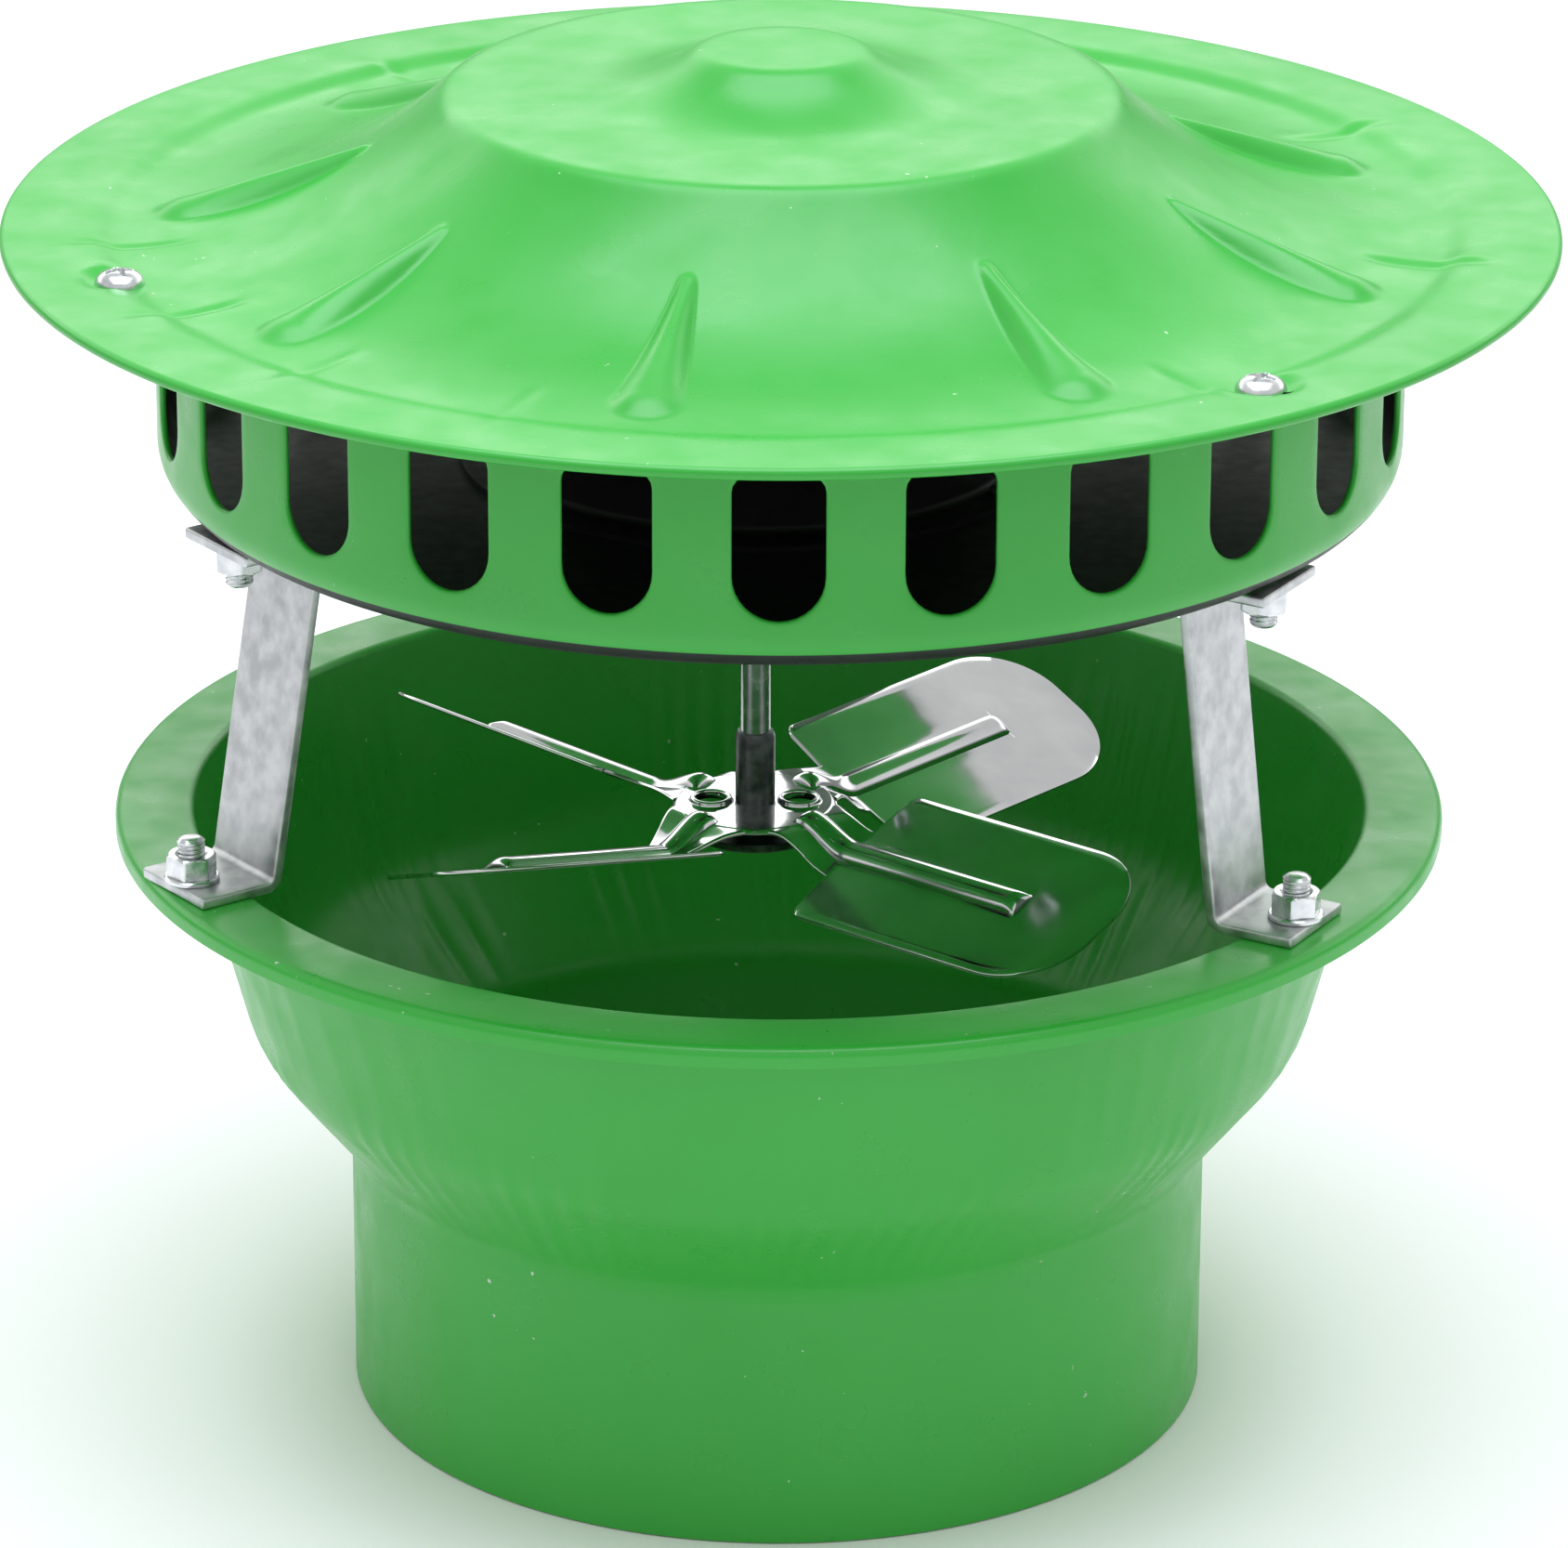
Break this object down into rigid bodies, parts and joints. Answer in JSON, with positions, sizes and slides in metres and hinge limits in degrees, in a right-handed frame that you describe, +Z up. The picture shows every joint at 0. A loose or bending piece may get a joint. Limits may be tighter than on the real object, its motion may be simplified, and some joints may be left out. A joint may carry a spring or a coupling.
{
  "type": "chimney draught fan",
  "caption": "Chimney draught fan: spun collar and bowl, strip legs, slotted motor pan and wide pressed hat, with a stamped four-blade impeller spinning in the bowl.",
  "frame": {"origin": "on the cowl's vertical axis, in the plane of the collar's bottom edge that it stands on", "axes": "+Z up along the collar axis to the hat, -Y towards the side that the picture shows, +X to the right in the picture"},
  "size_m": [0.2808, 0.2808, 0.2577],
  "materials": {
    "bowl_paint": "glossy green stoved paint on spun steel",
    "pan_paint": "glossy green stoved paint on pressed steel",
    "hat_paint": "satin green stoved paint on pressed steel",
    "leg_zinc": "dull galvanised strip",
    "bolt_zinc": "bright zinc plate",
    "nut_zinc": "bright zinc plate",
    "screw_zinc": "bright zinc plate",
    "motor_casting": "plain die casting",
    "bronze": "sintered bronze",
    "lamination": "varnished laminated steel",
    "copper_winding": "varnished copper winding",
    "drum_paint": "black paint",
    "grommet_rubber": "plain black rubber",
    "shaft_steel": "ground steel",
    "bush_steel": "turned steel",
    "impeller_bright": "mirror-bright stainless sheet"
  },
  "bodies": {
    "cowl": {"base_bowl": "bowl_paint", "leg_left": "leg_zinc", "leg_right": "leg_zinc", "leg_rear": "leg_zinc", "foot_bolts": "bolt_zinc", "foot_washers": "bolt_zinc", "foot_nuts": "nut_zinc", "cage_pan": "pan_paint", "pan_bolts": "bolt_zinc", "pan_nuts": "nut_zinc", "hat": "hat_paint", "hat_screws": "screw_zinc", "hat_nuts": "nut_zinc", "motor_posts": "nut_zinc", "post_screws": "screw_zinc", "lower_shield": "motor_casting", "lower_bearing": "bronze", "stator_core": "lamination", "stator_coils": "copper_winding", "upper_shield": "motor_casting", "upper_bearing": "bronze", "through_screws": "screw_zinc", "motor_drum": "drum_paint", "drum_screws": "screw_zinc", "cable_grommet": "grommet_rubber"},
    "rotor": {"shaft": "shaft_steel", "rotor_core": "lamination", "thrust_collars": "shaft_steel", "hub_bush": "bush_steel", "impeller": "impeller_bright"}
  },
  "joints": [
    {"name": "rotor_spin", "type": "hinge", "parent": "cowl", "child": "rotor", "pos_m": [-0.0044, 0, 0.18], "axis": [0, 0, 1], "continuous": true}
  ]
}
